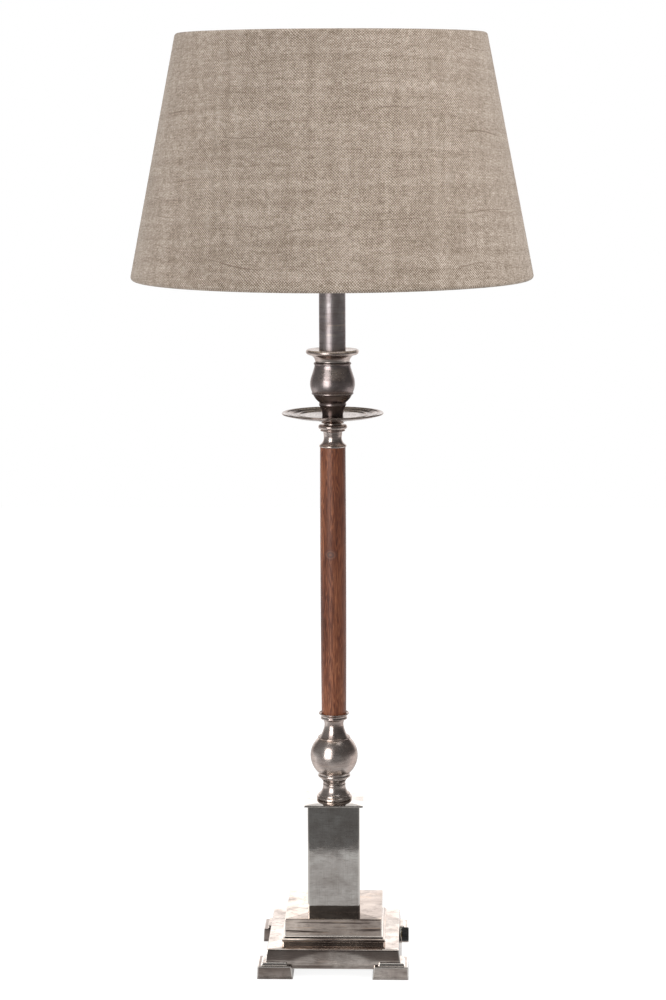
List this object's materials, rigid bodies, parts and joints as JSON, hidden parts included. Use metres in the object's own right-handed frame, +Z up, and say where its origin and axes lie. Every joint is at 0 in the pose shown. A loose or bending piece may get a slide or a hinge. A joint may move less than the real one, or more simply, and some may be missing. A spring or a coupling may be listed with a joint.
{
  "type": "candlestick table lamp",
  "caption": "Tall candlestick table lamp: stepped square metal foot, turned wooden stem with a drip pan, and a tapered linen shade.",
  "frame": {"origin": "on the table, under the middle of the square foot", "axes": "+Z up along the stem, -Y the front, +X the side with the switch knob"},
  "size_m": [0.3004, 0.3004, 0.7072],
  "materials": {
    "silver_plate": "antique silver plate, polished and tarnished",
    "rosewood": "oiled, satin",
    "linen": "coarse natural linen weave",
    "liner_film": "translucent film",
    "white_wire": "white powder coat",
    "felt": "pressed felt",
    "zinc_steel": "zinc plated",
    "iron": "raw casting",
    "brass_parts": "plain",
    "holder_plastic": "black thermoset",
    "knob_plastic": "black, fluted",
    "white_plastic": "moulded",
    "porcelain": "glazed",
    "frosted_glass": "frosted",
    "clear_glass": "clear",
    "black_glass": "opaque",
    "bulb_metal": "thin pressed sheet",
    "rubber_bushing": "moulded",
    "lead_blue": "insulated lead",
    "lead_brown": "insulated lead"
  },
  "bodies": {
    "stand": {"foot_plinth": "silver_plate", "felt_pads": "felt", "bottom_cover": "zinc_steel", "cover_screws": "zinc_steel", "middle_plinth": "silver_plate", "ballast_weight": "iron", "column_tube": "silver_plate", "column_cap": "silver_plate", "knop_foot": "silver_plate", "ball_knop": "silver_plate", "lower_ferrule": "silver_plate", "wood_rod": "rosewood", "upper_ferrule": "silver_plate", "drip_pan": "silver_plate", "urn_knop": "silver_plate", "candle_cup": "silver_plate", "candle_tube": "silver_plate", "tube_plug": "brass_parts", "tie_rod": "zinc_steel", "rod_nuts": "zinc_steel", "rod_washer": "zinc_steel", "holder_cap": "holder_plastic", "holder_body": "holder_plastic", "holder_insert": "porcelain", "screw_shell": "brass_parts", "centre_contact": "brass_parts", "side_contact": "brass_parts", "switch_bushing": "zinc_steel", "switch_nut": "zinc_steel", "switch_body": "holder_plastic", "terminal_block": "white_plastic", "terminal_screws": "zinc_steel", "earth_screw": "zinc_steel", "earth_tag": "brass_parts", "cord_bushing": "rubber_bushing", "lead_neutral": "lead_blue", "lead_switched": "lead_brown", "lead_feed": "lead_brown"},
    "shade": {"shade_liner": "liner_film", "shade_cover": "linen", "top_wire_ring": "white_wire", "shade_carrier": "white_wire"},
    "retaining_ring": {"shade_ring": "holder_plastic"},
    "bulb": {"bulb_glass": "frosted_glass", "bulb_shell": "bulb_metal", "bulb_insulator": "black_glass", "bulb_eyelet": "bulb_metal", "bulb_stem": "clear_glass", "bulb_filament": "bulb_metal"},
    "switch": {"switch_knob": "knob_plastic", "switch_spindle": "brass_parts"}
  },
  "joints": [
    {"name": "switch_turn", "type": "hinge", "parent": "stand", "child": "switch", "pos_m": [0.0519, 0.009, 0.014], "axis": [1, 0, 0], "range_deg": [0, 90]},
    {"name": "shade_turn", "type": "hinge", "parent": "stand", "child": "shade", "pos_m": [0, 0, 0.574], "axis": [0, 0, 1], "continuous": true},
    {"name": "bulb_lift", "type": "slide", "parent": "stand", "child": "bulb", "axis": [0, 0, 1], "range_m": [0, 0.13]},
    {"name": "ring_lift", "type": "slide", "parent": "stand", "child": "retaining_ring", "axis": [0, 0, 1], "range_m": [0, 0.02]}
  ]
}
